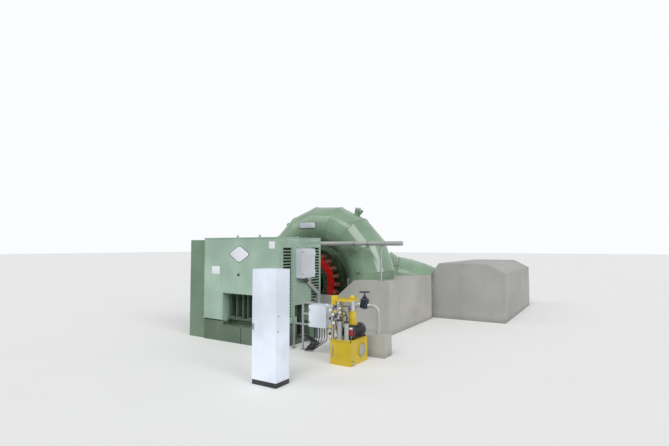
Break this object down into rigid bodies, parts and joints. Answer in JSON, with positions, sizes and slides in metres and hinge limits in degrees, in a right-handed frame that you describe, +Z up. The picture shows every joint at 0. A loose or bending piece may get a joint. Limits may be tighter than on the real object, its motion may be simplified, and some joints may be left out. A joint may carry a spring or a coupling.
{
  "type": "horizontal Francis turbine and generator set",
  "caption": "Horizontal hydroelectric set: boxed generator, mitred spiral turbine case with guide vane ring, concrete blocks, cabinets and governor oil unit.",
  "frame": {"origin": "on the floor under the shaft axis, in the middle plane of the spiral case", "axes": "+Z up; +Y along the shaft from the generator to the turbine; +X to the side of the governor oil unit"},
  "size_m": [8.66, 15.208, 4.1259],
  "materials": {
    "concrete": "painted, matte",
    "dark_green_paint": "satin",
    "green_paint": "gloss",
    "grey_enamel": "satin",
    "galvanised_steel": "dull zinc",
    "bare_steel": "machined",
    "grey_pipe_paint": "satin",
    "white_enamel": "satin",
    "yellow_paint": "gloss",
    "black_paint": "satin",
    "red_paint": "gloss",
    "lever_green": "satin"
  },
  "bodies": {
    "fixed_plant": {"foundation_block": "concrete", "anchor_block": "concrete", "generator_base": "dark_green_paint", "generator_housing": "green_paint", "housing_roof": "green_paint", "cooler_box": "dark_green_paint", "louvre_panels": "green_paint", "junction_box": "grey_enamel", "cable_duct": "galvanised_steel", "spiral_case": "green_paint", "stay_ring": "green_paint", "inspection_cover": "green_paint", "head_cover": "dark_green_paint", "guide_bearing": "green_paint", "main_shaft": "bare_steel", "draft_tube": "green_paint", "cooling_pipe": "grey_pipe_paint", "pipe_support": "galvanised_steel", "control_cabinet": "white_enamel", "terminal_frame": "galvanised_steel", "terminal_box": "white_enamel", "oil_tank": "yellow_paint", "pump_motor": "black_paint", "accumulator": "yellow_paint", "valve_manifold": "bare_steel", "hydraulic_stand": "yellow_paint", "oil_filters": "grey_pipe_paint", "valve_ledge": "concrete", "stop_valve": "black_paint", "valve_pipe": "galvanised_steel"},
    "ring": {"regulating_ring": "red_paint"},
    "junction_door": {"junction_box_door": "grey_enamel"},
    "cabinet_door": {"control_cabinet_door": "white_enamel"},
    "terminal_door": {"terminal_box_door": "white_enamel"},
    "valve_wheel": {"handwheel": "black_paint"},
    "gate_lever_01": {"gate_lever_01": "lever_green"},
    "gate_lever_02": {"gate_lever_02": "lever_green"},
    "gate_lever_03": {"gate_lever_03": "lever_green"},
    "gate_lever_04": {"gate_lever_04": "lever_green"},
    "gate_lever_05": {"gate_lever_05": "lever_green"},
    "gate_lever_06": {"gate_lever_06": "lever_green"},
    "gate_lever_07": {"gate_lever_07": "lever_green"},
    "gate_lever_08": {"gate_lever_08": "lever_green"},
    "gate_lever_09": {"gate_lever_09": "lever_green"},
    "gate_lever_10": {"gate_lever_10": "lever_green"},
    "gate_lever_11": {"gate_lever_11": "lever_green"},
    "gate_lever_12": {"gate_lever_12": "lever_green"},
    "gate_lever_13": {"gate_lever_13": "lever_green"},
    "gate_lever_14": {"gate_lever_14": "lever_green"},
    "gate_lever_15": {"gate_lever_15": "lever_green"},
    "gate_lever_16": {"gate_lever_16": "lever_green"},
    "gate_lever_17": {"gate_lever_17": "lever_green"},
    "gate_lever_18": {"gate_lever_18": "lever_green"},
    "gate_lever_19": {"gate_lever_19": "lever_green"},
    "gate_lever_20": {"gate_lever_20": "lever_green"},
    "gate_lever_21": {"gate_lever_21": "lever_green"},
    "gate_lever_22": {"gate_lever_22": "lever_green"},
    "gate_lever_23": {"gate_lever_23": "lever_green"},
    "gate_lever_24": {"gate_lever_24": "lever_green"}
  },
  "joints": [
    {"name": "ring_turn", "type": "hinge", "parent": "fixed_plant", "child": "ring", "pos_m": [0, -0.95, 1.43], "axis": [0, 1, 0], "range_deg": [-3, 3]},
    {"name": "vane_01", "type": "hinge", "parent": "fixed_plant", "child": "gate_lever_01", "pos_m": [0.9, -0.83, 1.43], "axis": [0, 1, 0], "range_deg": [-22, 22]},
    {"name": "vane_02", "type": "hinge", "parent": "fixed_plant", "child": "gate_lever_02", "pos_m": [0.86933, -0.83, 1.66294], "axis": [0, 1, 0], "range_deg": [-22, 22]},
    {"name": "vane_03", "type": "hinge", "parent": "fixed_plant", "child": "gate_lever_03", "pos_m": [0.77942, -0.83, 1.88], "axis": [0, 1, 0], "range_deg": [-22, 22]},
    {"name": "vane_04", "type": "hinge", "parent": "fixed_plant", "child": "gate_lever_04", "pos_m": [0.6364, -0.83, 2.0664], "axis": [0, 1, 0], "range_deg": [-22, 22]},
    {"name": "vane_05", "type": "hinge", "parent": "fixed_plant", "child": "gate_lever_05", "pos_m": [0.45, -0.83, 2.20942], "axis": [0, 1, 0], "range_deg": [-22, 22]},
    {"name": "vane_06", "type": "hinge", "parent": "fixed_plant", "child": "gate_lever_06", "pos_m": [0.23294, -0.83, 2.29933], "axis": [0, 1, 0], "range_deg": [-22, 22]},
    {"name": "vane_07", "type": "hinge", "parent": "fixed_plant", "child": "gate_lever_07", "pos_m": [0, -0.83, 2.33], "axis": [0, 1, 0], "range_deg": [-22, 22]},
    {"name": "vane_08", "type": "hinge", "parent": "fixed_plant", "child": "gate_lever_08", "pos_m": [-0.23294, -0.83, 2.29933], "axis": [0, 1, 0], "range_deg": [-22, 22]},
    {"name": "vane_09", "type": "hinge", "parent": "fixed_plant", "child": "gate_lever_09", "pos_m": [-0.45, -0.83, 2.20942], "axis": [0, 1, 0], "range_deg": [-22, 22]},
    {"name": "vane_10", "type": "hinge", "parent": "fixed_plant", "child": "gate_lever_10", "pos_m": [-0.6364, -0.83, 2.0664], "axis": [0, 1, 0], "range_deg": [-22, 22]},
    {"name": "vane_11", "type": "hinge", "parent": "fixed_plant", "child": "gate_lever_11", "pos_m": [-0.77942, -0.83, 1.88], "axis": [0, 1, 0], "range_deg": [-22, 22]},
    {"name": "vane_12", "type": "hinge", "parent": "fixed_plant", "child": "gate_lever_12", "pos_m": [-0.86933, -0.83, 1.66294], "axis": [0, 1, 0], "range_deg": [-22, 22]},
    {"name": "vane_13", "type": "hinge", "parent": "fixed_plant", "child": "gate_lever_13", "pos_m": [-0.9, -0.83, 1.43], "axis": [0, 1, 0], "range_deg": [-22, 22]},
    {"name": "vane_14", "type": "hinge", "parent": "fixed_plant", "child": "gate_lever_14", "pos_m": [-0.86933, -0.83, 1.19706], "axis": [0, 1, 0], "range_deg": [-22, 22]},
    {"name": "vane_15", "type": "hinge", "parent": "fixed_plant", "child": "gate_lever_15", "pos_m": [-0.77942, -0.83, 0.98], "axis": [0, 1, 0], "range_deg": [-22, 22]},
    {"name": "vane_16", "type": "hinge", "parent": "fixed_plant", "child": "gate_lever_16", "pos_m": [-0.6364, -0.83, 0.7936], "axis": [0, 1, 0], "range_deg": [-22, 22]},
    {"name": "vane_17", "type": "hinge", "parent": "fixed_plant", "child": "gate_lever_17", "pos_m": [-0.45, -0.83, 0.65058], "axis": [0, 1, 0], "range_deg": [-22, 22]},
    {"name": "vane_18", "type": "hinge", "parent": "fixed_plant", "child": "gate_lever_18", "pos_m": [-0.23294, -0.83, 0.56067], "axis": [0, 1, 0], "range_deg": [-22, 22]},
    {"name": "vane_19", "type": "hinge", "parent": "fixed_plant", "child": "gate_lever_19", "pos_m": [0, -0.83, 0.53], "axis": [0, 1, 0], "range_deg": [-22, 22]},
    {"name": "vane_20", "type": "hinge", "parent": "fixed_plant", "child": "gate_lever_20", "pos_m": [0.23294, -0.83, 0.56067], "axis": [0, 1, 0], "range_deg": [-22, 22]},
    {"name": "vane_21", "type": "hinge", "parent": "fixed_plant", "child": "gate_lever_21", "pos_m": [0.45, -0.83, 0.65058], "axis": [0, 1, 0], "range_deg": [-22, 22]},
    {"name": "vane_22", "type": "hinge", "parent": "fixed_plant", "child": "gate_lever_22", "pos_m": [0.6364, -0.83, 0.7936], "axis": [0, 1, 0], "range_deg": [-22, 22]},
    {"name": "vane_23", "type": "hinge", "parent": "fixed_plant", "child": "gate_lever_23", "pos_m": [0.77942, -0.83, 0.98], "axis": [0, 1, 0], "range_deg": [-22, 22]},
    {"name": "vane_24", "type": "hinge", "parent": "fixed_plant", "child": "gate_lever_24", "pos_m": [0.86933, -0.83, 1.19706], "axis": [0, 1, 0], "range_deg": [-22, 22]},
    {"name": "junction_box_hinge", "type": "hinge", "parent": "fixed_plant", "child": "junction_door", "pos_m": [1.555, -2.9285, 2.225], "axis": [0, 0, 1], "range_deg": [0, 110]},
    {"name": "cabinet_hinge", "type": "hinge", "parent": "fixed_plant", "child": "cabinet_door", "pos_m": [3.2625, -6.7, 1.17], "axis": [0, 0, 1], "range_deg": [0, 110]},
    {"name": "terminal_box_hinge", "type": "hinge", "parent": "fixed_plant", "child": "terminal_door", "pos_m": [2.7665, -4.2, 0.95], "axis": [0, 0, 1], "range_deg": [0, 110]},
    {"name": "valve_turn", "type": "hinge", "parent": "fixed_plant", "child": "valve_wheel", "pos_m": [3.405, -3.4, 1.535], "axis": [0, 0, 1], "continuous": true}
  ],
  "couplings": [
    {"joint": "vane_01", "follows": "ring_turn", "ratio": 7},
    {"joint": "vane_02", "follows": "ring_turn", "ratio": 7},
    {"joint": "vane_03", "follows": "ring_turn", "ratio": 7},
    {"joint": "vane_04", "follows": "ring_turn", "ratio": 7},
    {"joint": "vane_05", "follows": "ring_turn", "ratio": 7},
    {"joint": "vane_06", "follows": "ring_turn", "ratio": 7},
    {"joint": "vane_07", "follows": "ring_turn", "ratio": 7},
    {"joint": "vane_08", "follows": "ring_turn", "ratio": 7},
    {"joint": "vane_09", "follows": "ring_turn", "ratio": 7},
    {"joint": "vane_10", "follows": "ring_turn", "ratio": 7},
    {"joint": "vane_11", "follows": "ring_turn", "ratio": 7},
    {"joint": "vane_12", "follows": "ring_turn", "ratio": 7},
    {"joint": "vane_13", "follows": "ring_turn", "ratio": 7},
    {"joint": "vane_14", "follows": "ring_turn", "ratio": 7},
    {"joint": "vane_15", "follows": "ring_turn", "ratio": 7},
    {"joint": "vane_16", "follows": "ring_turn", "ratio": 7},
    {"joint": "vane_17", "follows": "ring_turn", "ratio": 7},
    {"joint": "vane_18", "follows": "ring_turn", "ratio": 7},
    {"joint": "vane_19", "follows": "ring_turn", "ratio": 7},
    {"joint": "vane_20", "follows": "ring_turn", "ratio": 7},
    {"joint": "vane_21", "follows": "ring_turn", "ratio": 7},
    {"joint": "vane_22", "follows": "ring_turn", "ratio": 7},
    {"joint": "vane_23", "follows": "ring_turn", "ratio": 7},
    {"joint": "vane_24", "follows": "ring_turn", "ratio": 7}
  ]
}
